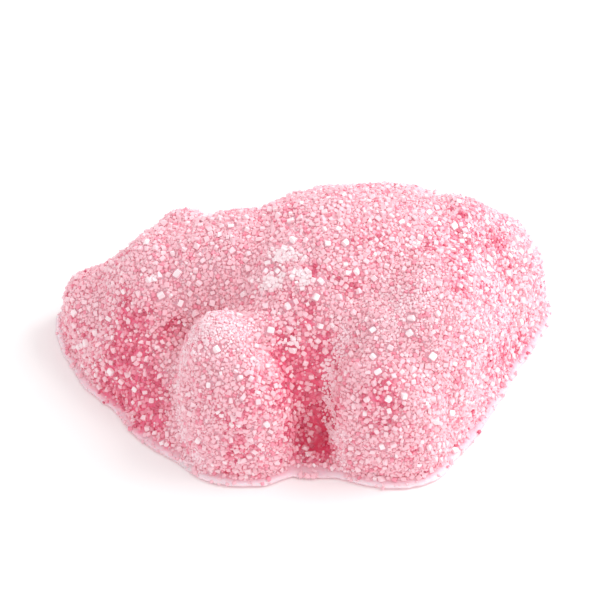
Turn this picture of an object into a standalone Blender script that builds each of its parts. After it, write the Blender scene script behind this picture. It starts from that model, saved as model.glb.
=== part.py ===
"""Sour gummy pig: a moulded jelly pig lying on its flat back, rolled in coarse sugar.

The pig lies with its snout towards -X, its feet towards -Y and its flat moulded face on z = 0.
Its form is a set of rounded masses blended into one skin. On that skin lie sugar bumps, and the
largest crystals and clumps of sugar, which are fused to it.
"""

import math
from typing import NamedTuple

import bmesh
import bpy
import numpy as np
from mathutils import Euler, Matrix, Vector, noise

MM = 0.001

# Overall size, sugar included
LENGTH = 34.0 * MM
HEIGHT = 21.8 * MM
THICKNESS = 13.2 * MM

# Skin, its lip round the flat face, and how far its points keep from the plane that cuts it
MASS_SUBDIVISIONS = 5
SKIN_VOXEL = 0.45 * MM
SMOOTH_FACTOR = 0.5
SMOOTH_PASSES = 3
SKIN_KEPT = 0.34
LIP_HEIGHT = 1.0 * MM
LIP_REACH = 0.4 * MM
BASE_CLEAR = 0.1 * MM
CUT_MERGE = 0.0001 * MM
CREASE_ANGLE = math.radians(50)

# Straight slope behind the hind leg: the way it faces, how far out it lies, and its softness
SEAT_TURN = math.radians(-27.5)
SEAT_REACH = 12.9 * MM
SEAT_SOFTNESS = 0.5 * MM

# Relief of the sugar crust and of the soft unevenness under it
SWELL_SCALE = 4.5 * MM
SWELL_DEPTH = 0.16 * MM
CRUST_SCALE = 1.15 * MM
CRUST_DEPTH = 0.22 * MM
GRIT_SHARE = 0.5

# Largest sugar crystals and clumps: length, then width and depth as shares of it, and tilt in radians
CRYSTAL_COUNT = 165
CRYSTAL_SIZES = (0.55 * MM, 0.95 * MM)
CRYSTAL_WIDTHS = (0.65, 0.95)
CRYSTAL_DEPTHS = (0.6, 0.85)
CRYSTAL_TILT = 0.5
CRYSTAL_SPACING = 1.45 * MM
CRYSTAL_FLOOR = 1.5 * MM
CRYSTAL_SINK = 0.12
SEED = 34

# Sugared pink jelly: linear colour of sRGB (243, 168, 186)
JELLY_COLOUR = (0.896, 0.392, 0.491, 1.0)
JELLY_ROUGHNESS = 0.72


class Mass(NamedTuple):
    """One rounded mass of the pig, in millimetres and degrees."""

    name: str
    x: float
    y: float
    reach_x: float
    reach_y: float
    top: float
    turn: float = 0.0
    squareness: float = 2.4


MASSES = (
    Mass("barrel", 3.3, 1.5, 11.2, 8.3, 12.0, turn=7, squareness=2.4),
    Mass("rump", 11.4, 4.2, 5.6, 4.6, 9.3, turn=4, squareness=2.3),
    Mass("withers", -4.4, 2.3, 6.4, 5.4, 10.4),
    Mass("neck", -7.4, 2.2, 5.0, 5.0, 9.6, turn=18),
    Mass("haunch", 8.5, -2.6, 4.9, 6.9, 11.6, turn=-32, squareness=2.2),
    Mass("thigh", 10.0, 3.1, 4.4, 5.1, 11.0, turn=-22),
    Mass("stifle", 5.3, -5.1, 3.9, 3.9, 9.9, turn=-14, squareness=2.3),
    Mass("hind foot", 5.3, -7.2, 4.4, 3.8, 8.4, turn=-6, squareness=2.5),
    Mass("shoulder", -6.2, -5.4, 3.5, 3.4, 9.2, turn=8, squareness=2.5),
    Mass("front foot", -5.0, -7.1, 4.2, 3.8, 7.9, turn=-8, squareness=2.3),
    Mass("head", -9.9, 2.4, 5.7, 5.2, 8.9, turn=28, squareness=2.3),
    Mass("cheek", -11.4, -1.0, 5.8, 3.7, 5.0, turn=-38, squareness=2.4),
    Mass("snout", -14.8, 3.3, 3.1, 2.9, 4.8, turn=14, squareness=3.5),
    Mass("ear", -9.2, 5.7, 2.8, 2.8, 8.5, turn=24),
    Mass("web", 1.2, -7.2, 5.6, 3.0, 0.9, squareness=2.8),
    Mass("throat web", -9.3, -5.1, 4.9, 2.9, 2.4, turn=-42, squareness=2.2),
    Mass("belly", 0.2, -3.3, 3.9, 4.0, 8.0, squareness=2.6),
    Mass("elbow", -3.1, -4.3, 2.7, 2.5, 9.0, turn=20),
    Mass("gaskin", 8.2, -5.4, 3.0, 4.8, 9.0, turn=-28, squareness=2.2),
    Mass("hip", 12.2, 2.9, 2.8, 4.8, 10.0, turn=-24, squareness=2.2),
    Mass("muzzle", -13.2, 3.3, 3.2, 2.8, 6.1, turn=24),
)


def clear_scene():
    """Remove everything the scene starts with."""
    for item in list(bpy.data.objects):
        bpy.data.objects.remove(item, do_unlink=True)


def squared(direction, squareness):
    """Return the point of a unit superellipsoid that lies along a direction."""
    total = sum(abs(part) ** squareness for part in direction)
    return direction * total ** (-1.0 / squareness)


def add_mass(mesh, mass):
    """Add one closed superellipsoid, centred on the base plane, to a bmesh."""
    ball = bmesh.ops.create_icosphere(mesh, subdivisions=MASS_SUBDIVISIONS, radius=1.0)
    stretch = Matrix.Diagonal((mass.reach_x * MM, mass.reach_y * MM, mass.top * MM, 1.0))
    turn = Matrix.Rotation(math.radians(mass.turn), 4, "Z")
    place = Matrix.Translation((mass.x * MM, mass.y * MM, 0.0))
    for vertex in ball["verts"]:
        vertex.co = squared(vertex.co.normalized(), mass.squareness)
    bmesh.ops.transform(mesh, matrix=place @ turn @ stretch, verts=ball["verts"])


def press_seat(mesh):
    """Press the masses behind the hind leg back to one straight slope."""
    way = Vector((math.cos(SEAT_TURN), math.sin(SEAT_TURN), 0.0))
    for vertex in mesh.verts:
        over = vertex.co.dot(way) - SEAT_REACH + SEAT_SOFTNESS
        if over > 0.0:
            vertex.co += way * (SEAT_SOFTNESS * math.tanh(over / SEAT_SOFTNESS) - over)


def apply_modifiers(item):
    """Replace an object's mesh by its evaluated one and drop the modifiers."""
    graph = bpy.context.evaluated_depsgraph_get()
    finished = bpy.data.meshes.new_from_object(item.evaluated_get(graph))
    item.modifiers.clear()
    item.data = finished


def blended_body(name):
    """Return the pig's masses as one object with a single even skin."""
    mesh = bpy.data.meshes.new(name)
    masses = bmesh.new()
    for mass in MASSES:
        add_mass(masses, mass)
    press_seat(masses)
    masses.to_mesh(mesh)
    masses.free()
    body = bpy.data.objects.new(name, mesh)
    bpy.context.scene.collection.objects.link(body)
    skin = body.modifiers.new("skin", "REMESH")
    skin.mode = "VOXEL"
    skin.voxel_size = SKIN_VOXEL
    soften = body.modifiers.new("soften", "SMOOTH")
    soften.factor = SMOOTH_FACTOR
    soften.iterations = SMOOTH_PASSES
    apply_modifiers(body)
    return body


def thin_out(body):
    """Collapse the skin to the triangles that its form needs."""
    thinner = body.modifiers.new("thinner", "DECIMATE")
    thinner.ratio = SKIN_KEPT
    apply_modifiers(body)


def cut_flat(body):
    """Cut the body off at the base plane and close it with one flat face."""
    mesh = bmesh.new()
    mesh.from_mesh(body.data)
    for vertex in mesh.verts:
        vertex.co.z = math.copysign(max(abs(vertex.co.z), BASE_CLEAR), vertex.co.z)
    everything = mesh.verts[:] + mesh.edges[:] + mesh.faces[:]
    bmesh.ops.bisect_plane(
        mesh,
        geom=everything,
        dist=CUT_MERGE,
        plane_co=(0, 0, 0),
        plane_no=(0, 0, -1),
        clear_outer=True,
    )
    bmesh.ops.triangulate(mesh, faces=mesh.faces[:])
    rim = [edge for edge in mesh.edges if edge.is_boundary]
    bmesh.ops.edgeloop_fill(mesh, edges=rim)
    bmesh.ops.recalc_face_normals(mesh, faces=mesh.faces[:])
    mesh.to_mesh(body.data)
    mesh.free()


def fit_to_size(body):
    """Scale and centre the body on its overall length, height and thickness."""
    corners = np.array([vertex.co for vertex in body.data.vertices])
    low = corners.min(axis=0)
    span = corners.max(axis=0) - low
    middle = Vector((low[0] + span[0] / 2, low[1] + span[1] / 2, 0.0))
    scale = Matrix.Diagonal((LENGTH / span[0], HEIGHT / span[1], THICKNESS / span[2], 1.0))
    body.data.transform(scale @ Matrix.Translation(-middle))


def rise_over_lip(vertex):
    """Return how far up the height of the lip a vertex lies, from 0 on the base plane to 1."""
    return min(1.0, abs(vertex.co.z) / LIP_HEIGHT)


def shape_lip(body):
    """Spread the lip round the flat face and raise the soft unevenness of the jelly."""
    vertices = body.data.vertices
    normals = [vertex.normal.copy() for vertex in vertices]
    for vertex, normal in zip(vertices, normals):
        rise = rise_over_lip(vertex)
        outward = Vector((normal.x, normal.y, 0.0)) * LIP_REACH * (1.0 - rise)
        swell = noise.noise(vertex.co / SWELL_SCALE) * SWELL_DEPTH
        vertex.co += outward + normal * swell * rise


def add_crust(body):
    """Raise the bumps of the sugar crust above the lip."""
    chance = np.random.default_rng(SEED)
    vertices = body.data.vertices
    normals = [vertex.normal.copy() for vertex in vertices]
    for vertex, normal in zip(vertices, normals):
        lumps = 1.0 - 2.0 * noise.voronoi(vertex.co / CRUST_SCALE)[0][0]
        grit = chance.uniform(-GRIT_SHARE, GRIT_SHARE)
        vertex.co += normal * (lumps + grit) * CRUST_DEPTH * rise_over_lip(vertex)


def crystal_places(body, chance):
    """Return well-spaced points and outward normals on the sugared skin."""
    faces = [face for face in body.data.polygons if face.center.z > CRYSTAL_FLOOR]
    weights = np.array([face.area for face in faces])
    order = chance.choice(len(faces), size=len(faces), replace=False, p=weights / weights.sum())
    places = []
    for index in order:
        face = faces[index]
        if all((face.center - point).length > CRYSTAL_SPACING for point, _ in places):
            places.append((face.center.copy(), face.normal.copy()))
        if len(places) == CRYSTAL_COUNT:
            break
    return places


def add_crystal(group, point, normal, size, chance):
    """Add one blocky sugar crystal, tilted at random and sunk into the skin."""
    block = bmesh.new()
    bmesh.ops.create_cube(block, size=size)
    shape = Matrix.Diagonal((1.0, chance.uniform(*CRYSTAL_WIDTHS), chance.uniform(*CRYSTAL_DEPTHS), 1.0))
    tilt = Euler(chance.uniform(-CRYSTAL_TILT, CRYSTAL_TILT, 3)).to_matrix().to_4x4()
    upright = normal.to_track_quat("Z", "Y").to_matrix().to_4x4()
    spin = Matrix.Rotation(chance.uniform(0.0, math.tau), 4, "Z")
    place = Matrix.Translation(point - normal * size * CRYSTAL_SINK)
    bmesh.ops.transform(block, matrix=place @ upright @ spin @ tilt @ shape, verts=block.verts)
    mesh = bpy.data.meshes.new("crystal")
    block.to_mesh(mesh)
    block.free()
    group.objects.link(bpy.data.objects.new("crystal", mesh))


def fuse_crystals(body):
    """Join the largest sugar crystals to the skin with one Boolean union."""
    chance = np.random.default_rng(SEED)
    group = bpy.data.collections.new("crystals")
    bpy.context.scene.collection.children.link(group)
    for point, normal in crystal_places(body, chance):
        size = chance.uniform(*CRYSTAL_SIZES)
        add_crystal(group, point, normal, size, chance)
    union = body.modifiers.new("crystals", "BOOLEAN")
    union.operation = "UNION"
    union.operand_type = "COLLECTION"
    union.collection = group
    union.solver = "EXACT"
    apply_modifiers(body)
    for item in list(group.objects):
        bpy.data.objects.remove(item, do_unlink=True)
    bpy.data.collections.remove(group)


def jelly_material():
    """Return the pale pink of jelly seen through its coat of sugar."""
    material = bpy.data.materials.new("sugared_pink_jelly")
    material.use_nodes = True
    surface = material.node_tree.nodes["Principled BSDF"]
    surface.inputs["Base Color"].default_value = JELLY_COLOUR
    surface.inputs["Roughness"].default_value = JELLY_ROUGHNESS
    surface.inputs["Metallic"].default_value = 0.0
    return material


def build_pig():
    """Build the pig as one named solid."""
    body = blended_body("gummy_pig")
    shape_lip(body)
    thin_out(body)
    add_crust(body)
    cut_flat(body)
    fuse_crystals(body)
    fit_to_size(body)
    body.data.materials.clear()
    body.data.materials.append(jelly_material())
    body.data.shade_smooth()
    body.data.set_sharp_from_angle(angle=CREASE_ANGLE)


clear_scene()
build_pig()
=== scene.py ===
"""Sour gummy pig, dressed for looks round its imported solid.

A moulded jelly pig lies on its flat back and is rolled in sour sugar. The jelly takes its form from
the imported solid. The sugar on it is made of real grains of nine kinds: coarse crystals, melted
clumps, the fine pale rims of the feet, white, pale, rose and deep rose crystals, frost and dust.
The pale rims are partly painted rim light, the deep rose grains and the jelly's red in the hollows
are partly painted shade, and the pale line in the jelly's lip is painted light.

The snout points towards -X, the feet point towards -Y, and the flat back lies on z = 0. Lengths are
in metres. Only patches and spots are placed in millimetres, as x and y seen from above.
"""

import logging
import math
from dataclasses import dataclass
from dataclasses import field
from enum import Enum
from itertools import product

import bpy
import numpy as np
from mathutils import Euler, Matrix
from mathutils import Vector
from mathutils import noise
from mathutils.bvhtree import BVHTree


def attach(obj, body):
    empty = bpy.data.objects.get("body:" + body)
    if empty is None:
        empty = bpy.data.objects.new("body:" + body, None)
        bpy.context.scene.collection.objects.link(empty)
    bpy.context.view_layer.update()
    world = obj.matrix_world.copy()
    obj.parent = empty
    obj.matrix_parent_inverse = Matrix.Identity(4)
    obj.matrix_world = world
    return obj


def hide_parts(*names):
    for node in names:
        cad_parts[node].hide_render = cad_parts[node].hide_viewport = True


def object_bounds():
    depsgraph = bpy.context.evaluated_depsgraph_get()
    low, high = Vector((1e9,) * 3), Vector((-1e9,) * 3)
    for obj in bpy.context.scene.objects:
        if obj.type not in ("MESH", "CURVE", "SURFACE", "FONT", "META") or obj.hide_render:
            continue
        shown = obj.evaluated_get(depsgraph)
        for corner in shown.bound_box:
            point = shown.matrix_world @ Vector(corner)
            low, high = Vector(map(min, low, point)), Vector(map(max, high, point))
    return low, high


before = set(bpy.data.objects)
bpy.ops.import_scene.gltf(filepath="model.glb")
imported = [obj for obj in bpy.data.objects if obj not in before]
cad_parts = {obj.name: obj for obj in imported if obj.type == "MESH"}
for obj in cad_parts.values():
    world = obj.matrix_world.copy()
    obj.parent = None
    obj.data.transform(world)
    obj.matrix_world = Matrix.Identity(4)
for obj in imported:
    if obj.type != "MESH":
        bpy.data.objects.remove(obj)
CAD_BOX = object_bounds()

MM = 0.001
SEED = 34
BODY = "root"
NODE = "gummy_pig"

UP = Vector((0.0, 0.0, 1.0))
DOWN = Vector((0.0, 0.0, -1.0))

# A ray that looks for the skin under a point starts this high
RAY_HEIGHT = 1.0

# A triangle that faces down by more than this share of its area belongs to the flat back
BACK_SHARE = 0.7

# Steps from a cell of the grid of grains to itself and to all cells that touch it
NEAR_CELLS = tuple(product((-1, 0, 1), repeat=3))

# Place and brightness of each grey stop of a colour ramp, in order
Stops = tuple[tuple[float, float], ...]

# Place of a grain and half the room that it takes
Taken = tuple[float, float, float, float]

log = logging.getLogger("gummy_pig")


def linear(code: str) -> tuple[float, float, float, float]:
    """Turn an sRGB hex colour into Blender's linear red, green, blue and alpha.

    Args:
        code: six hex digits after a hash sign.

    Returns:
        The linear colour, with alpha 1.
    """
    shares = [int(code[place : place + 2], 16) / 255 for place in (1, 3, 5)]
    light = [s / 12.92 if s <= 0.04045 else ((s + 0.055) / 1.055) ** 2.4 for s in shares]
    return (light[0], light[1], light[2], 1.0)


def new_material(name: str) -> tuple[bpy.types.Material, bpy.types.Node]:
    """Add a material with a plain surface.

    Args:
        name: the material's name.

    Returns:
        The material and its surface node.
    """
    material = bpy.data.materials.new(name)
    material.use_nodes = True
    return material, material.node_tree.nodes["Principled BSDF"]


def fill_node(tree: bpy.types.NodeTree, node: bpy.types.Node, **values: object) -> None:
    """Set or link a node's settings and inputs.

    Args:
        tree: the material's node tree.
        node: the node to set.
        values: settings and inputs by name, with _ for a space. An output socket is linked, stops
            are those of a colour ramp, and anything else is the value itself.
    """
    for key, value in values.items():
        name = key.replace("_", " ")
        found = [s for s in node.inputs if name in (s.name, s.identifier.replace("_", " "))]
        found = [s for s in found if s.identifier.replace("_", " ") == name] or found
        if key == "stops":
            set_stops(node.color_ramp, value)
        elif not found:
            setattr(node, key, value)
        elif isinstance(value, bpy.types.NodeSocket):
            tree.links.new(value, found[0])
        else:
            found[0].default_value = value


def add_node(tree: bpy.types.NodeTree, kind: str, **values: object) -> bpy.types.Node:
    """Add one node to a tree and set or link its inputs.

    Args:
        tree: the material's node tree.
        kind: Blender's name of the node's type.
        values: settings and inputs, as fill_node takes them.

    Returns:
        The new node.
    """
    node = tree.nodes.new(kind)
    fill_node(tree, node, **values)
    return node


def set_stops(ramp: bpy.types.ColorRamp, stops: Stops) -> None:
    """Give a colour ramp its grey stops.

    Args:
        ramp: the ramp of a node.
        stops: place and brightness of each stop, in order.
    """
    while len(ramp.elements) < len(stops):
        ramp.elements.new(1.0)
    for element, (place, grey) in zip(ramp.elements, stops):
        element.position = place
        element.color = (grey, grey, grey, 1.0)


def mixed_colour(node: bpy.types.Node) -> bpy.types.NodeSocket:
    """Return the colour that comes out of a colour mix."""
    return next(s for s in node.outputs if s.identifier == "Result_Color")


def select_only(piece: bpy.types.Object) -> None:
    """Select one object alone and make it active.

    Args:
        piece: the object.
    """
    bpy.ops.object.select_all(action="DESELECT")
    piece.select_set(True)
    bpy.context.view_layer.objects.active = piece


def apply_modifier(piece: bpy.types.Object, kind: str, **settings: object) -> None:
    """Add a modifier to a piece and apply it.

    Args:
        piece: the object to shape.
        kind: Blender's name of the modifier's type.
        settings: the modifier's own settings.
    """
    select_only(piece)
    modifier = piece.modifiers.new(kind.lower(), kind)
    for name, value in settings.items():
        setattr(modifier, name, value)
    bpy.ops.object.modifier_apply(modifier=modifier.name)


def claim(piece: bpy.types.Object) -> None:
    """Tie a piece to the pig's frame, so that it rides on the pig, and hide the solid it stands
    for.

    Args:
        piece: a finished piece.
    """
    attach(piece, BODY)
    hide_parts(NODE)


def report(piece: bpy.types.Object) -> None:
    """Log a finished piece's name and its number of triangles."""
    count = sum(len(face.vertices) - 2 for face in piece.data.polygons)
    log.info("%s has %d triangles", piece.name, count)


def rows_of(mesh: bpy.types.Mesh, name: str) -> np.ndarray:
    """Read a vector at each vertex of a mesh.

    Args:
        mesh: the mesh.
        name: Blender's name of the vertices' vector.

    Returns:
        Rows of x, y and z.
    """
    flat = np.zeros(len(mesh.vertices) * 3, np.float32)
    mesh.vertices.foreach_get(name, flat)
    return flat.reshape(-1, 3).astype(float)


def points_of(mesh: bpy.types.Mesh) -> np.ndarray:
    """Return the places of a mesh's vertices."""
    return rows_of(mesh, "co")


def normals_of(mesh: bpy.types.Mesh) -> np.ndarray:
    """Return the outward direction at each vertex of a mesh."""
    return rows_of(mesh, "normal")


def values_of(mesh: bpy.types.Mesh, name: str) -> np.ndarray:
    """Read the number that a mesh stores at each vertex under one name.

    Args:
        mesh: the mesh.
        name: the attribute's name.

    Returns:
        One number a vertex.
    """
    values = np.zeros(len(mesh.vertices), np.float32)
    mesh.attributes[name].data.foreach_get("value", values)
    return values


@dataclass(frozen=True)
class JellyFinish:
    """Gummy jelly, moulded in starch and steamed before it is sugared.

    It gives the eye a deep, glowing pink with a soft gloss where it is bare, and a paler and duller
    pink where fine sugar has melted onto it. Hollows hold less sugar and show a redder pink, which
    is also darker there as painted shade, set by how far rays from the skin meet the pig again. The
    thin lip round the base is bare and glossy, with a painted pale line that stands for light
    gathering in it.
    """

    bare: str = "#FA6A8C"
    # The hollows' redder jelly, made darker as painted shade as well
    hollow: str = "#D63056"
    film: str = "#F3ACBB"
    # The lip's pale line: painted light that stands for light gathering in the jelly
    lip: str = "#FFDFE7"
    film_grain: float = 0.34 * MM
    film_detail: float = 3.0
    coat_weight: float = 0.45
    film_stops: Stops = ((0.5, 0.0), (0.85, 1.0))
    # Heights of the lip's painted pale line of light, in mm above the base, and its strength there
    line_stops: Stops = ((0.08, 0.15), (0.16, 1.0), (0.34, 1.0), (0.46, 0.15))
    bare_roughness: float = 0.32
    film_roughness: float = 0.62
    lip_polish: float = 0.35
    pit: float = 0.05 * MM
    pit_strength: float = 0.8
    ior: float = 1.45
    glow_weight: float = 0.45
    glow_depth: float = 1.2 * MM
    glow: tuple[float, float, float] = (1.0, 0.35, 0.42)

    def make(self) -> bpy.types.Material:
        """Make the jelly's material from its attributes and one fine pattern.

        Returns:
            The material.
        """
        material, surface = new_material("pink_gummy_jelly")
        tree = material.node_tree
        place = add_node(tree, "ShaderNodeTexCoord").outputs["Object"]
        edge = add_node(tree, "ShaderNodeAttribute", attribute_name="lip").outputs["Fac"]
        grain = add_node(
            tree,
            "ShaderNodeTexNoise",
            Vector=place,
            Scale=1.0 / self.film_grain,
            Detail=self.film_detail,
        ).outputs["Fac"]
        film = self.melted_film(tree, grain)
        pits = add_node(
            tree, "ShaderNodeBump", Height=grain, Distance=self.pit, Strength=self.pit_strength
        )
        fill_node(
            tree,
            surface,
            Base_Color=self.colour(tree, film, self.painted_lip_light(tree, place, edge)),
            Roughness=self.roughness(tree, film, edge),
            Normal=pits.outputs["Normal"],
            IOR=self.ior,
            Subsurface_Weight=self.glow_weight,
            Subsurface_Radius=self.glow,
            Subsurface_Scale=self.glow_depth,
        )
        return material

    def melted_film(
        self, tree: bpy.types.NodeTree, grain: bpy.types.NodeSocket
    ) -> bpy.types.NodeSocket:
        """Find where fine sugar has melted onto the jelly.

        Args:
            tree: the material's node tree.
            grain: the film's fine pattern.

        Returns:
            The film's share, from 0 on bare jelly to 1.
        """
        coat = add_node(tree, "ShaderNodeAttribute", attribute_name="coat").outputs["Fac"]
        held = add_node(
            tree,
            "ShaderNodeMath",
            operation="MULTIPLY_ADD",
            Value=coat,
            Value_001=self.coat_weight,
            Value_002=grain,
        ).outputs["Value"]
        return add_node(
            tree, "ShaderNodeValToRGB", Fac=held, stops=self.film_stops
        ).outputs["Color"]

    def painted_lip_light(
        self,
        tree: bpy.types.NodeTree,
        place: bpy.types.NodeSocket,
        edge: bpy.types.NodeSocket,
    ) -> bpy.types.NodeSocket:
        """Paint the pale line of light that runs round the pig in the lip.

        Args:
            tree: the material's node tree.
            place: the place on the pig.
            edge: how far the skin belongs to the lip's painted pale line.

        Returns:
            The painted line's share of the colour.
        """
        height = add_node(tree, "ShaderNodeSeparateXYZ", Vector=place).outputs["Z"]
        raised = add_node(
            tree, "ShaderNodeMath", operation="DIVIDE", Value=height, Value_001=MM
        ).outputs["Value"]
        line = add_node(
            tree, "ShaderNodeValToRGB", Fac=raised, stops=self.line_stops
        ).outputs["Color"]
        return add_node(
            tree, "ShaderNodeMath", operation="MULTIPLY", Value=edge, Value_001=line
        ).outputs["Value"]

    def colour(
        self,
        tree: bpy.types.NodeTree,
        film: bpy.types.NodeSocket,
        line: bpy.types.NodeSocket,
    ) -> bpy.types.NodeSocket:
        """Lay the hollows' red, partly painted shade, the film and the painted pale line of light
        over the bare jelly's colour.

        Args:
            tree: the material's node tree.
            film: the film's share.
            line: the painted pale line's share.

        Returns:
            The jelly's colour.
        """
        # Redder and darker where rays from the skin meet the pig again: less sugar there, and
        # painted shade
        recess = add_node(tree, "ShaderNodeAttribute", attribute_name="recess").outputs["Fac"]
        below = linear(self.bare)
        for share, shade in ((recess, self.hollow), (film, self.film), (line, self.lip)):
            mix = add_node(
                tree,
                "ShaderNodeMix",
                data_type="RGBA",
                Factor_Float=share,
                A_Color=below,
                B_Color=linear(shade),
            )
            below = mixed_colour(mix)
        return below

    def roughness(
        self,
        tree: bpy.types.NodeTree,
        film: bpy.types.NodeSocket,
        edge: bpy.types.NodeSocket,
    ) -> bpy.types.NodeSocket:
        """Dull the jelly where film lies on it and polish the lip.

        Args:
            tree: the material's node tree.
            film: the film's share.
            edge: how far the skin belongs to the lip and its painted pale line.

        Returns:
            The jelly's roughness.
        """
        frosted = add_node(
            tree,
            "ShaderNodeMapRange",
            Value=film,
            To_Min=self.bare_roughness,
            To_Max=self.film_roughness,
        ).outputs["Result"]
        return add_node(
            tree,
            "ShaderNodeMath",
            operation="MULTIPLY_ADD",
            Value=edge,
            Value_001=-self.lip_polish,
            Value_002=frosted,
        ).outputs["Value"]


@dataclass(frozen=True)
class SugarFinish:
    """Crystal sugar that has taken up a little of the jelly's colour.

    Its faces give the eye small glints. Its body is clear but full of flaws, so that a grain looks
    white where it stands free and pink where the jelly shows through it. The flaws are drawn as
    coarse as they need to show, as real ones are finer.
    """

    name: str
    colour: str
    mean_roughness: float
    scuffs: tuple[float, float] = (0.6, 1.4)
    flaw: float = 0.09 * MM
    flaw_detail: float = 1.0
    ior: float = 1.54
    glow_weight: float = 0.1
    glow_depth: float = 0.2 * MM
    glow: tuple[float, float, float] = (1.0, 0.7, 0.75)

    def make(self) -> bpy.types.Material:
        """Make the sugar's material, whose flaws and scuffs vary its gloss.

        Returns:
            The material.
        """
        material, surface = new_material(self.name)
        tree = material.node_tree
        place = add_node(tree, "ShaderNodeTexCoord").outputs["Object"]
        flaws = add_node(
            tree,
            "ShaderNodeTexNoise",
            Vector=place,
            Scale=1.0 / self.flaw,
            Detail=self.flaw_detail,
        ).outputs["Fac"]
        scuffed = add_node(
            tree,
            "ShaderNodeMapRange",
            Value=flaws,
            To_Min=self.mean_roughness * self.scuffs[0],
            To_Max=self.mean_roughness * self.scuffs[1],
        ).outputs["Result"]
        fill_node(
            tree,
            surface,
            Base_Color=linear(self.colour),
            Roughness=scuffed,
            IOR=self.ior,
            Subsurface_Weight=self.glow_weight,
            Subsurface_Radius=self.glow,
            Subsurface_Scale=self.glow_depth,
        )
        return material


@dataclass(frozen=True)
class Patch:
    """A round stretch of skin, in mm, that fades out to its reach and changes what lies on it."""

    x: float
    y: float
    reach: float
    change: float
    fade: float = 2.0

    def share(self, points: np.ndarray) -> np.ndarray:
        """Tell how much the patch changes the skin at each point.

        Args:
            points: rows of x, y and z.

        Returns:
            The change at each point.
        """
        far = np.hypot(points[:, 0] - self.x * MM, points[:, 1] - self.y * MM)
        return self.change * np.exp(-self.fade * (far / self.reach / MM) ** 2)


def total_change(patches: tuple[Patch, ...], points: np.ndarray) -> np.ndarray:
    """Add up what several patches change at each point.

    Args:
        patches: the patches.
        points: rows of x, y and z.

    Returns:
        The sum of their changes at each point.
    """
    return sum(patch.share(points) for patch in patches)


# Where the skin holds more or less fine sugar than its shape gives it. Some patches also paint
# # light and shade: the throat and the gap lose sugar where shade falls beside the legs, and the
# # shoulder and the legs' edges gain it where light falls
PATCHES = (
    # Bare red jelly in the throat, partly real and partly painted shade
    Patch(-11.6, -3.5, 4.4, -0.95),  # throat
    Patch(-8.8, -3.0, 2.0, 0.6),  # neck, beside the front leg
    Patch(-6.7, -2.0, 2.6, 0.65),  # neck, above the front leg
    # Paler, as painted light over the crease above the front leg
    Patch(-5.4, -0.9, 2.4, 0.5),  # shoulder
    Patch(-2.0, -4.9, 1.8, -0.4),  # elbow
    # Pale rim, partly painted rim light
    Patch(-8.3, -5.0, 1.8, 0.6),  # edge of the shoulder
    # Darker, partly the painted shade that the front leg casts on the throat
    Patch(-9.8, -5.8, 3.2, -1.0),  # throat, beside the front leg
    Patch(-13.2, -1.6, 3.4, -0.4),  # cheek
    # This patch and the next leave the gap bare and red, partly as painted shade
    Patch(0.3, -6.4, 2.3, -0.95),  # gap between the feet
    Patch(0.9, -7.8, 1.8, -1.0),  # foot of the gap
    Patch(-0.4, -4.8, 3.2, -0.45),  # belly over the gap
    Patch(0.0, -5.4, 1.4, 0.25),  # top of the gap
    Patch(2.6, -3.8, 3.2, -0.3),  # flank
    Patch(4.8, -1.6, 3.0, -0.1),  # front of the haunch
    Patch(6.4, -4.6, 3.2, 0.65),  # stifle
    Patch(5.6, -6.8, 2.4, 0.45),  # hind leg
    Patch(0.5, 0.5, 6.0, 0.1),  # barrel
    Patch(8.2, -6.2, 5.0, 0.05),  # low haunch
    Patch(12.4, -0.6, 4.4, -0.5),  # rump
    Patch(15.0, 1.8, 3.0, -0.3),  # end of the rump
    Patch(-6.4, -5.4, 3.4, 0.9),  # top of the front leg
    # Pale rim, partly painted rim light
    Patch(-8.2, -6.4, 1.5, 0.8),  # edge of the front leg
    Patch(-4.2, -9.7, 2.6, -0.3),  # front foot
    # Pale rim, partly painted rim light
    Patch(2.3, -7.2, 1.6, 0.8),  # edge of the hind leg
    Patch(5.0, -9.2, 2.4, -0.6),  # hind foot
    Patch(-8.5, 4.8, 3.4, 0.3),  # ear
    Patch(-16.0, 3.9, 2.0, -0.3),  # snout
    Patch(-11.2, 2.2, 3.4, 0.2),  # brow
    Patch(-7.5, 0.6, 4.6, 0.35),  # neck
    Patch(-13.8, 1.6, 2.4, 0.25),  # muzzle
)

# Where the lip is pink and bare, without the painted pale line of light
PINK_LIP = (
    Patch(0.6, -9.6, 2.6, 0.4),  # gap between the feet
    Patch(-12.8, -6.6, 5.5, 0.6),  # throat
    Patch(-17.0, -1.5, 4.0, 0.5),  # snout
    Patch(13.0, -5.5, 6.0, 0.5),  # slope behind the hind leg
    Patch(17.0, 2.0, 5.0, 0.4),  # rump
    Patch(2.0, 11.0, 12.0, 0.3),  # back
)

# Where grains have melted away, all in the gap between the feet; the bare red left there is partly
# # painted shade
MELTED = (
    Patch(0.9, -8.0, 1.7, 0.97),
    Patch(1.0, -6.6, 1.2, 0.5),
    Patch(-0.3, -6.0, 1.2, 0.3),
)


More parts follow.
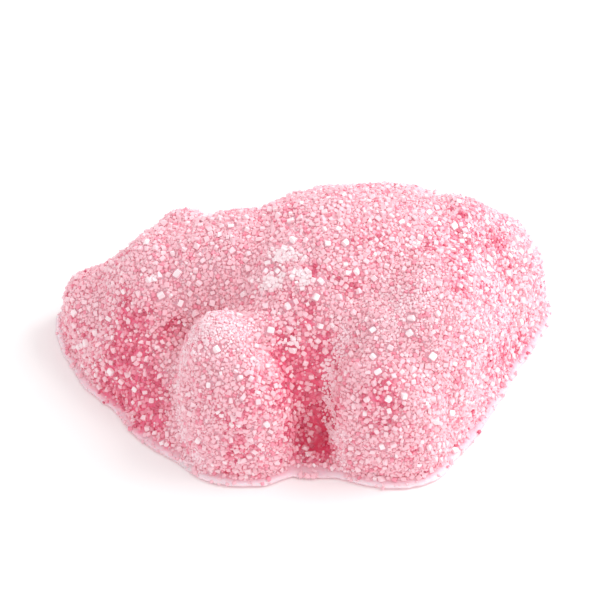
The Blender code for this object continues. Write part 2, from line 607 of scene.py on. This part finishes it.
@dataclass(frozen=True)
class FineSugar:
    """The fine sugar that clings to the skin: 0 where it is bare and 1 where it is well covered."""

    even: float = 0.85
    hollow_loss: float = 1.3
    drift: float = 0.6
    drift_width: float = 3.6 * MM
    fleck: float = 0.5
    fleck_width: float = 1.3 * MM
    lip_gain: float = 0.3
    pink_loss: float = 0.9
    most: float = 1.5

    def amount(
        self, points: np.ndarray, recess: np.ndarray, lip: np.ndarray, pinked: np.ndarray
    ) -> np.ndarray:
        """Work out the fine sugar at each point.

        Args:
            points: rows of x, y and z.
            recess: how deep in a hollow each point lies.
            lip: how far each point belongs to the lip.
            pinked: how pink the lip is there.

        Returns:
            The amount at each point.
        """
        drift = np.array([noise.noise(Vector(point) / self.drift_width) for point in points])
        flecks = np.array([noise.noise(Vector(point) / self.fleck_width) for point in points])
        # Hollows hold less sugar; the bare red jelly that this leaves there is partly painted shade
        amount = self.even - self.hollow_loss * recess
        amount = amount + self.drift * drift + self.fleck * flecks
        amount = amount + total_change(PATCHES, points) * (1.0 - lip)
        amount = amount + (self.lip_gain - self.pink_loss * pinked) * lip
        return np.clip(amount, 0.0, self.most)


@dataclass
class JellyBody:
    """The moulded jelly pig under its sugar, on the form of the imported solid."""

    # An even mesh, softened until the bumps of the solid's own crystals are gone
    weld: float = 0.001 * MM
    skin: float = 0.2 * MM
    soften_factor: float = 0.5
    soften_passes: int = 30

    # Rays that tell how deep in a hollow a vertex lies: 0 in the open and 1 at the bottom. The
    # jelly is
    # # redder and darker there, partly as painted shade
    recess_rays: int = 20
    recess_reach: float = 6.0 * MM
    recess_lean: float = 1.02
    recess_passes: int = 3
    recess_gain: float = 1.7
    recess_floor: float = 0.08

    # The lip round the base, and the bead that stands out from it under a shallow groove
    lip_height: float = 0.75 * MM
    lip_gain: float = 1.6
    bead_wall: float = 0.14 * MM
    bead_height: float = 0.3 * MM
    bead_reach: float = 0.38 * MM
    groove_share: float = 0.7
    groove_height: float = 1.8

    # Creases, and the relief of the sugared skin between them
    crease_depth: float = 0.05 * MM
    base_band: float = 0.9 * MM
    hollow_levelling: float = 0.5
    lump: float = 1.5 * MM
    lump_depth: float = 0.2 * MM
    pebble: float = 0.5 * MM
    pebble_depth: float = 0.12 * MM
    inset: float = 0.1 * MM

    sugar: FineSugar = field(default_factory=FineSugar)
    finish: JellyFinish = field(default_factory=JellyFinish)
    piece: bpy.types.Object | None = None

    def build(self) -> None:
        """Make the jelly's mesh from a copy of the solid's mesh."""
        self.piece = bpy.data.objects.new("jelly_pig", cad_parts[NODE].data.copy())
        bpy.context.scene.collection.objects.link(self.piece)
        select_only(self.piece)
        bpy.ops.object.mode_set(mode="EDIT")
        bpy.ops.mesh.select_all(action="SELECT")
        bpy.ops.mesh.remove_doubles(threshold=self.weld)
        bpy.ops.object.mode_set(mode="OBJECT")
        apply_modifier(self.piece, "REMESH", mode="VOXEL", voxel_size=self.skin)
        apply_modifier(
            self.piece, "SMOOTH", factor=self.soften_factor, iterations=self.soften_passes
        )
        self.note_skin()
        self.sharpen_form()
        self.mark_sugared()
        self.raise_relief("lumps", "CLOUDS", self.lump, self.lump_depth)
        self.raise_relief("pebbles", "VORONOI", self.pebble, self.pebble_depth)
        self.rest_on_base()
        bpy.ops.object.shade_smooth()

    def note_skin(self) -> None:
        """Store each vertex's depth in a hollow (also painted shade), fine sugar and painted pale
        line.
        """
        mesh = self.piece.data
        points = points_of(mesh)
        lip = np.clip(self.lip_gain - self.lip_gain * points[:, 2] / self.lip_height, 0.0, 1.0)
        pinked = total_change(PINK_LIP, points)
        deep = self.blocked_outlook() * self.recess_gain - self.recess_floor
        recess = np.clip(deep, 0.0, 1.0) * (1.0 - lip)
        coat = self.sugar.amount(points, recess, lip, pinked)
        # Share of the lip's painted pale line of light, left out where the lip is pink
        pale = lip * (1.0 - pinked)
        for name, values in (("recess", recess), ("coat", coat), ("lip", pale)):
            layer = mesh.attributes.new(name, "FLOAT", "POINT")
            layer.data.foreach_set("value", values.astype(np.float32))

    def blocked_outlook(self) -> np.ndarray:
        """Cast rays outwards from every vertex and count those that meet the pig again.

        Returns:
            The share of rays that are blocked, averaged over the vertices next to each one.
        """
        points = points_of(self.piece.data)
        normals = normals_of(self.piece.data)
        tree = BVHTree.FromObject(self.piece, bpy.context.evaluated_depsgraph_get())
        chance = np.random.default_rng(SEED)
        ways = chance.normal(size=(self.recess_rays, 3))
        ways /= np.linalg.norm(ways, axis=1)[:, None]
        blocked = np.zeros(len(points))
        for index, (point, normal) in enumerate(zip(points, normals)):
            start = Vector(point + normal * self.skin)
            for way in ways + normal * self.recess_lean:
                if tree.ray_cast(start, Vector(way).normalized(), self.recess_reach)[0]:
                    blocked[index] += 1.0 / self.recess_rays
        for _ in range(self.recess_passes):
            blocked = self.averaged(blocked)
        return blocked

    def averaged(self, values: np.ndarray) -> np.ndarray:
        """Average a value at each vertex with its neighbours'.

        Args:
            values: one number a vertex.

        Returns:
            The averaged numbers.
        """
        mesh = self.piece.data
        edges = np.zeros(len(mesh.edges) * 2, np.int32)
        mesh.edges.foreach_get("vertices", edges)
        one, other = edges.reshape(-1, 2).T
        total = values.copy()
        count = np.ones(len(values))
        np.add.at(total, one, values[other])
        np.add.at(total, other, values[one])
        np.add.at(count, one, 1.0)
        np.add.at(count, other, 1.0)
        return total / count

    def sharpen_form(self) -> None:
        """Deepen the creases and round the lip into a bead, with a groove along its top."""
        mesh = self.piece.data
        points = points_of(mesh)
        normals = normals_of(mesh)
        recess = values_of(mesh, "recess")
        points -= normals * (recess * self.crease_depth)[:, None]
        heights = np.maximum(points[:, 2] - self.bead_wall, 0.0) / self.bead_height
        groove = self.groove_share * np.exp(-((heights - self.groove_height) ** 2))
        bead = self.bead_reach * (np.exp(-(heights**2)) - groove)
        points[:, :2] += normals[:, :2] * bead[:, None]
        mesh.vertices.foreach_set("co", points.astype(np.float32).ravel())
        mesh.update()

    def mark_sugared(self) -> None:
        """Group the vertices for the relief, which fades to the base and is lower in hollows."""
        mesh = self.piece.data
        recess = values_of(mesh, "recess").astype(float)
        heights = np.clip(points_of(mesh)[:, 2] / self.base_band, 0.0, 1.0)
        weights = heights * (1.0 - self.hollow_levelling * recess)
        group = self.piece.vertex_groups.new(name="sugared")
        for index, weight in enumerate(weights):
            group.add([index], weight, "REPLACE")

    def raise_relief(self, name: str, kind: str, size: float, depth: float) -> None:
        """Displace the sugared skin by one pattern.

        Args:
            name: the pattern's name.
            kind: Blender's name of the texture's type.
            size: the pattern's width.
            depth: the height from its lowest to its highest point.
        """
        pattern = bpy.data.textures.new(name, kind)
        pattern.noise_scale = size
        apply_modifier(
            self.piece,
            "DISPLACE",
            texture=pattern,
            texture_coords="LOCAL",
            strength=depth,
            mid_level=0.5 + self.inset / depth / 2,
            vertex_group="sugared",
        )

    def rest_on_base(self) -> None:
        """Lift every vertex that lies below the base plane onto it."""
        for vertex in self.piece.data.vertices:
            vertex.co.z = max(0.0, vertex.co.z)

    def dress(self) -> None:
        """Give the jelly its finish and tie it to the frame."""
        self.piece.data.materials.clear()
        self.piece.data.materials.append(self.finish.make())
        claim(self.piece)
        report(self.piece)


class Cut(Enum):
    """How a crystal of sugar is shaped."""

    CHIPPED = "a block with opposite corners cut off"
    BEVELLED = "a block with all its edges cut off"
    SLANTED = "a long block with slanted ends"


@dataclass(frozen=True)
class Crystal:
    """One sugar crystal, modelled one unit long and then copied at each grain's size."""

    cut: Cut
    corner: float = 0.62
    bevel: float = 0.13
    slant: float = 0.22

    def build(self) -> tuple[np.ndarray, list[tuple[int, ...]]]:
        """Model the crystal and take its shape.

        Returns:
            The crystal's points, and the corners of each of its faces.
        """
        bpy.ops.object.select_all(action="DESELECT")
        bpy.ops.mesh.primitive_cube_add(size=1.0)
        block = bpy.context.object
        bpy.ops.object.mode_set(mode="EDIT")
        bpy.ops.mesh.select_all(action="SELECT")
        if self.cut is Cut.BEVELLED:
            bpy.ops.mesh.bevel(offset=self.bevel, segments=1, affect="EDGES")
        if self.cut is Cut.CHIPPED:
            self.cut_corner((1.0, 1.0, 1.0))
            self.cut_corner((-1.0, -1.0, 1.0))
        if self.cut is Cut.SLANTED:
            self.slant_ends(block)
            self.cut_corner((1.0, -1.0, 1.0))
        bpy.ops.object.mode_set(mode="OBJECT")
        points = points_of(block.data)
        faces = [tuple(face.vertices) for face in block.data.polygons]
        bpy.data.objects.remove(block, do_unlink=True)
        return points, faces

    def cut_corner(self, way: tuple[float, float, float]) -> None:
        """Cut off the corner of the block that lies in one direction.

        Args:
            way: the direction, from the block's middle.
        """
        bpy.ops.mesh.select_all(action="SELECT")
        place = Vector(way).normalized() * self.corner
        bpy.ops.mesh.bisect(plane_co=place, plane_no=way, use_fill=True, clear_outer=True)

    def slant_ends(self, block: bpy.types.Object) -> None:
        """Push the top of the block along, so that its ends slant.

        Args:
            block: the block, in edit mode.
        """
        bpy.ops.mesh.select_all(action="DESELECT")
        bpy.ops.object.mode_set(mode="OBJECT")
        for vertex in block.data.vertices:
            vertex.select = vertex.co.z > 0
        bpy.ops.object.mode_set(mode="EDIT")
        bpy.ops.transform.translate(value=(self.slant, 0.0, 0.0))


@dataclass(frozen=True)
class Spot:
    """A place, in mm, where grains of one kind always lie, alone or melted into a clump."""

    x: float
    y: float
    grains: int = 1
    length: float = 0.0
    width: float = 0.0
    turn: float = 0.0
    stray: float = 0.25

    def draw(self, chance: np.random.Generator) -> np.ndarray:
        """Draw how far the spot's grains lie from its middle, along the skin.

        Args:
            chance: the seeded source of the draws.

        Returns:
            Rows of x and y.
        """
        stretch = (self.length, self.width)
        spread = chance.normal(scale=self.stray, size=(self.grains, 2)) * stretch
        cosine, sine = math.cos(self.turn), math.sin(self.turn)
        return spread @ np.array([[cosine, sine], [-sine, cosine]]) * MM


def row_of_spots(
    places: tuple[tuple[float, float], ...],
    grains: int = 1,
    length: float = 0.0,
    width: float = 0.0,
    turn: float = 0.0,
) -> tuple[Spot, ...]:
    """Return spots of one shape at several places.

    Args:
        places: x and y of each spot, in mm.
        grains: how many grains a spot has.
        length: how far they spread along the spot, in mm.
        width: how far they spread across it, in mm.
        turn: the angle of the spot's length from the pig's, in radians.

    Returns:
        The spots, in the order of their places.
    """
    return tuple(Spot(x, y, grains, length, width, turn) for x, y in places)


@dataclass(frozen=True)
class GrainKind:
    """One kind of sugar grain in the coat.

    Spacing is the room that a grain needs, and sink how deep it sits, both as shares of its size.
    Tilt is how far it leans from the skin at random. The shares are the chances that a drawn place
    is used on bare skin and where fine sugar is thick, and the spots are its fixed places.
    """

    name: str
    cuts: tuple[Cut, ...]
    count: int
    sizes: tuple[float, float]
    spacing: float
    sink: float
    tilt: float
    bare_share: float
    coated_share: float
    finish: SugarFinish
    spots: tuple[Spot, ...] = ()


@dataclass
class Skin:
    """The jelly's surface, read once so that every kind of sugar finds its places on it."""

    points: np.ndarray
    normals: np.ndarray
    coats: np.ndarray
    corners: np.ndarray
    weights: np.ndarray
    tree: BVHTree

    @classmethod
    def read(cls, piece: bpy.types.Object) -> "Skin":
        """Read a piece's triangles, outward directions and fine sugar.

        Args:
            piece: the jelly.

        Returns:
            The skin, with triangles of the flat back given no weight.
        """
        mesh = piece.data
        mesh.calc_loop_triangles()
        corners = np.zeros(len(mesh.loop_triangles) * 3, np.int32)
        mesh.loop_triangles.foreach_get("vertices", corners)
        corners = corners.reshape(-1, 3)
        points = points_of(mesh)
        a, b, c = (points[corners[:, side]] for side in range(3))
        cross = np.cross(b - a, c - a)
        area = np.linalg.norm(cross, axis=1)
        area[cross[:, 2] < -BACK_SHARE * area] = 0.0
        weights = area / area.sum()
        tree = BVHTree.FromObject(piece, bpy.context.evaluated_depsgraph_get())
        return cls(points, normals_of(mesh), values_of(mesh, "coat"), corners, weights, tree)

    def draw(self, count: int, chance: np.random.Generator) -> tuple[np.ndarray, ...]:
        """Draw points spread evenly over the sugared skin.

        Args:
            count: how many points.
            chance: the seeded source of the draws.

        Returns:
            Their places, outward directions and amounts of fine sugar.
        """
        faces = chance.choice(len(self.corners), size=count, p=self.weights)
        u, v = chance.random((2, count))
        u, v = np.where(u + v > 1, 1 - u, u), np.where(u + v > 1, 1 - v, v)
        shares = np.stack([1 - u - v, u, v], axis=1)[:, :, None]
        corners = self.corners[faces]
        places = (self.points[corners] * shares).sum(axis=1)
        ways = (self.normals[corners] * shares).sum(axis=1)
        ways /= np.linalg.norm(ways, axis=1)[:, None]
        coats = (self.coats[corners] * shares[:, :, 0]).sum(axis=1)
        return places, ways, coats

    def under(self, spot: Spot, chance: np.random.Generator) -> list[tuple[Vector, Vector]]:
        """Lay a spot's grains on the skin round the point that lies under the spot's middle.

        Args:
            spot: where the grains lie.
            chance: the seeded source of the draws.

        Returns:
            Each grain's place and the skin's outward direction there.
        """
        above = Vector((spot.x * MM, spot.y * MM, RAY_HEIGHT))
        middle, way, _, _ = self.tree.ray_cast(above, DOWN)
        lean = UP.rotation_difference(way)
        steps = [lean @ Vector((x, y, 0.0)) for x, y in spot.draw(chance)]
        return [self.tree.find_nearest(middle + step)[:2] for step in steps]


@dataclass
class SugarCoat:
    """All the loose-looking sugar on the jelly, one piece for each kind of grain.

    The lip holds few grains. Widths and heights are shares of a grain's length, and no grain comes
    nearer to the floor than the gap. The cell is that of the grid which finds a grain's neighbours.
    """

    body: JellyBody
    kinds: tuple[GrainKind, ...]
    tries_each: int = 6
    melted_most: float = 0.97
    lip: float = 0.5 * MM
    lip_share: float = 0.05
    widths: tuple[float, float] = (0.68, 0.98)
    heights: tuple[float, float] = (0.55, 0.85)
    floor_gap: float = 0.02 * MM
    cell: float = 0.5 * MM
    taken: dict[tuple[int, int, int], list[Taken]] = field(default_factory=dict)
    pieces: list[bpy.types.Object] = field(default_factory=list)

    def build(self) -> None:
        """Place and model each kind of grain, those that stand out most first."""
        skin = Skin.read(self.body.piece)
        for order, kind in enumerate(self.kinds):
            chance = np.random.default_rng(SEED + order)
            self.pieces.append(self.scatter(kind, skin, chance))

    def is_free(self, place: np.ndarray, reach: float) -> bool:
        """Tell whether no earlier grain is too near a place, and if so take it.

        Args:
            place: the grain's place.
            reach: half the room that the grain needs.

        Returns:
            True if the place was free, and is now the grain's.
        """
        x, y, z = place
        column, row, layer = int(x // self.cell), int(y // self.cell), int(z // self.cell)
        for i, j, k in NEAR_CELLS:
            for ox, oy, oz, other in self.taken.get((column + i, row + j, layer + k), ()):
                apart = (x - ox) ** 2 + (y - oy) ** 2 + (z - oz) ** 2
                if apart < (reach + other) ** 2:
                    return False
        self.taken.setdefault((column, row, layer), []).append((x, y, z, reach))
        return True

    def scatter(
        self, kind: GrainKind, skin: Skin, chance: np.random.Generator
    ) -> bpy.types.Object:
        """Place the grains of one kind and join them into one mesh.

        Args:
            kind: the kind of grain.
            skin: the jelly's surface.
            chance: the seeded source of the draws.

        Returns:
            The new piece.
        """
        tries = kind.count * self.tries_each
        places, ways, coats = skin.draw(tries, chance)
        wanted = kind.bare_share + (kind.coated_share - kind.bare_share) * coats
        wanted *= 1.0 - np.clip(total_change(MELTED, places), 0.0, self.melted_most)
        keep = chance.random(tries) < wanted
        keep &= (places[:, 2] > self.lip) | (chance.random(tries) < self.lip_share)
        known = [grain for spot in kind.spots for grain in skin.under(spot, chance)]
        if known:
            places = np.concatenate([[place for place, _ in known], places])
            ways = np.concatenate([[way for _, way in known], ways])
            keep = np.concatenate([np.ones(len(known), bool), keep])
        sizes = chance.uniform(*kind.sizes, len(places))
        chosen = []
        for index in np.flatnonzero(keep):
            if self.is_free(places[index], sizes[index] * kind.spacing / 2):
                chosen.append(index)
            if len(chosen) == kind.count:
                break
        return self.join(kind, places[chosen], ways[chosen], sizes[chosen], chance)

    def join(
        self,
        kind: GrainKind,
        places: np.ndarray,
        ways: np.ndarray,
        sizes: np.ndarray,
        chance: np.random.Generator,
    ) -> bpy.types.Object:
        """Copy the kind's crystals to their places as one mesh.

        Args:
            kind: the kind of grain.
            places: where the grains lie.
            ways: the skin's outward direction there.
            sizes: the grains' lengths.
            chance: the seeded source of the draws.

        Returns:
            The new piece.
        """
        count = len(places)
        shapes = [Crystal(cut).build() for cut in kind.cuts]
        up = ways + chance.normal(scale=kind.tilt, size=(count, 3))
        up /= np.linalg.norm(up, axis=1)[:, None]
        along = np.cross(up, chance.normal(size=(count, 3)))
        along /= np.linalg.norm(along, axis=1)[:, None]
        across = np.cross(up, along)
        widths = sizes * chance.uniform(*self.widths, count)
        heights = sizes * chance.uniform(*self.heights, count)
        centres = places + ways * (heights * (0.5 - kind.sink))[:, None]
        points = []
        faces = []
        start = 0
        for index in range(count):
            shape, sides = shapes[index % len(shapes)]
            scaled = shape * (sizes[index], widths[index], heights[index])
            turned = scaled @ np.stack([along[index], across[index], up[index]])
            placed = turned + centres[index]
            lowest = placed[:, 2].min() - self.floor_gap
            placed[:, 2] -= min(0.0, lowest)
            points.append(placed)
            faces += [tuple(corner + start for corner in side) for side in sides]
            start += len(placed)
        mesh = bpy.data.meshes.new(kind.name)
        mesh.from_pydata(np.concatenate(points), [], faces)
        mesh.materials.append(kind.finish.make())
        piece = bpy.data.objects.new(kind.name, mesh)
        bpy.context.scene.collection.objects.link(piece)
        return piece

    def dress(self) -> None:
        """Tie each kind of sugar to the frame."""
        for piece in self.pieces:
            claim(piece)
            report(piece)


# Clumps of melted sugar: three on the barrel, then the gap's top, the haunch and the neck
CLUMPS = (
    Spot(-1.3, -0.4, 110, 2.0, 1.0, -0.25),
    Spot(-2.1, -1.9, 90, 1.8, 1.0, 0.2),
    Spot(-0.1, -2.3, 55, 1.2, 1.0, 0.0),
    Spot(-0.8, -5.0, 45, 1.1, 0.8, -0.2),
    Spot(7.2, -0.2, 20, 0.8, 0.6, 0.0),
    Spot(-10.3, 0.6, 16, 0.7, 0.5, 0.5),
)

# Single coarse grains that stand out on the pig's near side
LONE = row_of_spots(
    (
        (0.8, -3.4),
        (2.8, -0.3),
        (-9.6, -0.4),
        (-4.3, -4.0),
        (-6.3, -8.0),
        (12.3, 1.4),
        (8.5, -7.0),
        (7.1, -5.5),
        (5.6, -9.4),
        (10.1, -7.8),
        (4.9, -8.2),
        (-4.0, -1.4),
        (-15.6, 2.1),
        (-7.0, -9.1),
        (-2.5, -9.5),
        (3.5, -2.2),
    )
)

# Pale rims, partly real frost and partly painted rim light: the front leg's edge, the hind leg's
# edge
# # down to its foot, then the legs' tops
LEG_EDGE = ((-6.6, -4.6), (-7.4, -4.7), (-8.0, -4.9), (-8.3, -5.6), (-8.3, -6.6), (-8.1, -7.5))
LEG_FOOT = ((-7.7, -8.5), (-7.1, -9.3))
HIND_TOP = ((2.8, -5.0), (2.3, -5.5))
RIMS_AND_RIM_LIGHT = (
    *row_of_spots(LEG_EDGE + LEG_FOOT + HIND_TOP, 60, 1.8, 1.0, 1.4),
    *row_of_spots(((1.5, -6.0), (1.6, -6.9), (1.7, -7.7)), 60, 1.6, 0.8, 1.5),
    *row_of_spots(((1.9, -6.5), (1.9, -7.4), (2.0, -8.4)), 90, 2.0, 1.2, 1.5),
    *row_of_spots(((2.4, -9.0), (2.7, -9.5)), 60, 1.8, 1.0, 1.4),
    Spot(-5.8, -5.6, 420, 6.0, 4.0, 0.3),
    Spot(6.4, -4.8, 260, 5.0, 4.0, 0.3),
    Spot(-8.2, -4.6, 90, 2.4, 1.4, 1.2),
)

KINDS = (
    # Big, clear grains that stand out one by one
    GrainKind(
        name="sugar_coarse",
        cuts=(Cut.BEVELLED, Cut.CHIPPED),
        count=90,
        sizes=(0.36 * MM, 0.5 * MM),
        spacing=1.5,
        sink=0.3,
        tilt=0.8,
        bare_share=0.35,
        coated_share=0.3,
        finish=SugarFinish("coarse_white_sugar", "#FAE8EC", 0.2),
        spots=LONE,
    ),
    # Grains that have melted together and look like one white lump
    GrainKind(
        name="sugar_clumps",
        cuts=(Cut.BEVELLED, Cut.CHIPPED),
        count=420,
        sizes=(0.2 * MM, 0.34 * MM),
        spacing=0.46,
        sink=0.28,
        tilt=0.5,
        bare_share=0.1,
        coated_share=0.1,
        finish=SugarFinish("melted_sugar_clumps", "#FAE3E8", 0.4),
        spots=CLUMPS,
    ),
    # Fine white grains thick on the legs' edges, whose pale rim is partly frost, partly painted rim
    # light
    GrainKind(
        name="sugar_rims_and_rim_light",
        cuts=(Cut.CHIPPED,),
        count=1400,
        sizes=(0.14 * MM, 0.24 * MM),
        spacing=0.7,
        sink=0.4,
        tilt=0.4,
        bare_share=0.0,
        coated_share=0.0,
        finish=SugarFinish("fine_white_sugar_rim_light", "#FADAE2", 0.4),
        spots=RIMS_AND_RIM_LIGHT,
    ),
    # Middling clear grains that glint all over the pig
    GrainKind(
        name="sugar_white",
        cuts=(Cut.BEVELLED, Cut.SLANTED),
        count=1200,
        sizes=(0.26 * MM, 0.42 * MM),
        spacing=1.2,
        sink=0.28,
        tilt=0.5,
        bare_share=0.18,
        coated_share=0.3,
        finish=SugarFinish("clear_white_sugar", "#F8D3DB", 0.22),
    ),
    # The main coat, tinted by the jelly under it
    GrainKind(
        name="sugar_pale",
        cuts=(Cut.BEVELLED, Cut.CHIPPED),
        count=4200,
        sizes=(0.22 * MM, 0.38 * MM),
        spacing=0.85,
        sink=0.42,
        tilt=0.4,
        bare_share=0.1,
        coated_share=1.0,
        finish=SugarFinish("pale_pink_sugar", "#F6C2CD", 0.3),
    ),
    # Grains that have drunk up jelly and speckle the coat with pink
    GrainKind(
        name="sugar_rose",
        cuts=(Cut.CHIPPED, Cut.SLANTED),
        count=4500,
        sizes=(0.2 * MM, 0.32 * MM),
        spacing=0.85,
        sink=0.42,
        tilt=0.4,
        bare_share=0.5,
        coated_share=0.5,
        finish=SugarFinish("rose_stained_sugar", "#F097AB", 0.32),
    ),
    # Grains soaked in jelly, in the hollows and other bare places alone; their dark red is partly
    # painted
    # # shade
    GrainKind(
        name="sugar_deep_and_shade",
        cuts=(Cut.CHIPPED, Cut.SLANTED),
        count=3500,
        sizes=(0.16 * MM, 0.28 * MM),
        spacing=0.85,
        sink=0.42,
        tilt=0.4,
        bare_share=1.0,
        coated_share=-0.3,
        finish=SugarFinish("deep_rose_sugar_and_shade", "#D5617C", 0.3),
    ),
    # Small grains that fill the coat and make it look frosted
    GrainKind(
        name="sugar_frost",
        cuts=(Cut.CHIPPED,),
        count=9500,
        sizes=(0.14 * MM, 0.23 * MM),
        spacing=0.75,
        sink=0.45,
        tilt=0.4,
        bare_share=0.03,
        coated_share=1.0,
        finish=SugarFinish("fine_pale_sugar", "#F6C1CC", 0.4),
    ),
    # The finest dust, which softens what is left between the grains
    GrainKind(
        name="sugar_dust",
        cuts=(Cut.SLANTED,),
        count=12000,
        sizes=(0.1 * MM, 0.17 * MM),
        spacing=0.8,
        sink=0.35,
        tilt=0.45,
        bare_share=0.1,
        coated_share=1.0,
        finish=SugarFinish("sugar_dust_white", "#F6CDD6", 0.45),
    ),
)


@dataclass(frozen=True)
class SoftBox:
    """One square soft light that points at the pig, with its power in watts."""

    name: str
    place: tuple[float, float, float]
    width: float
    power: float

    def hang(self) -> None:
        """Hang the light at its place."""
        data = bpy.data.lights.new(self.name, "AREA")
        data.size = self.width
        data.energy = self.power
        light = bpy.data.objects.new(self.name, data)
        light.location = self.place
        light.rotation_euler = Vector(self.place).to_track_quat("Z", "Y").to_euler()
        bpy.context.scene.collection.objects.link(light)


@dataclass
class Studio:
    """The pale floor, the soft lights and the camera."""

    lights: tuple[SoftBox, ...] = (
        SoftBox("key", (130 * MM, 35 * MM, 120 * MM), 150 * MM, 0.245),
        SoftBox("fill", (50 * MM, -170 * MM, 100 * MM), 120 * MM, 0.024),
        SoftBox("rim", (-150 * MM, 60 * MM, 60 * MM), 90 * MM, 0.01),
    )
    sky: float = 0.92
    bounces: int = 12
    floor_radius: float = 900 * MM
    floor_sides: int = 96
    floor_colour: str = "#FBF9F9"
    floor_roughness: float = 0.85
    elevation: float = math.radians(44)
    lens: float = 300.0
    width_share: float = 0.83

    def build(self) -> None:
        """Make the floor, the lights and the camera."""
        self.lay_floor()
        for light in self.lights:
            light.hang()
        self.light_sky()
        self.place_camera()
        bpy.context.scene.view_settings.view_transform = "Standard"
        bpy.context.scene.cycles.max_bounces = self.bounces
        bpy.context.scene.cycles.diffuse_bounces = self.bounces

    def lay_floor(self) -> None:
        """Lay the floor under the pig: matt white card, which takes a soft and pale shadow."""
        bpy.ops.object.select_all(action="DESELECT")
        bpy.ops.mesh.primitive_circle_add(
            vertices=self.floor_sides, radius=self.floor_radius, fill_type="NGON"
        )
        floor = bpy.context.object
        floor.name = "floor"
        material, surface = new_material("matt_white_card")
        fill_node(
            material.node_tree,
            surface,
            Base_Color=linear(self.floor_colour),
            Roughness=self.floor_roughness,
        )
        floor.data.materials.append(material)

    def light_sky(self) -> None:
        """Light the scene evenly from all round."""
        world = bpy.data.worlds.new("white_room")
        world.use_nodes = True
        background = world.node_tree.nodes["Background"]
        background.inputs["Color"].default_value = (1.0, 1.0, 1.0, 1.0)
        background.inputs["Strength"].default_value = self.sky
        bpy.context.scene.world = world

    def place_camera(self) -> None:
        """Point a long lens at the pig's middle, from far enough to show it all."""
        low, high = CAD_BOX
        middle = (low + high) / 2
        data = bpy.data.cameras.new("camera")
        data.lens = self.lens
        half_view = data.sensor_width / 2 / self.lens
        distance = (high.x - low.x) / 2 / self.width_share / half_view
        camera = bpy.data.objects.new("camera", data)
        camera.rotation_euler = Euler((math.pi / 2 - self.elevation, 0.0, 0.0))
        back = Vector((0.0, -math.cos(self.elevation), math.sin(self.elevation)))
        camera.location = middle + back * distance
        bpy.context.scene.collection.objects.link(camera)
        bpy.context.scene.camera = camera


def main() -> None:
    """Build the jelly, its sugar and the studio."""
    logging.basicConfig(level=logging.INFO, format="%(message)s")
    body = JellyBody()
    body.build()
    body.dress()
    coat = SugarCoat(body, KINDS)
    coat.build()
    coat.dress()
    Studio().build()


if __name__ == "__main__":
    main()
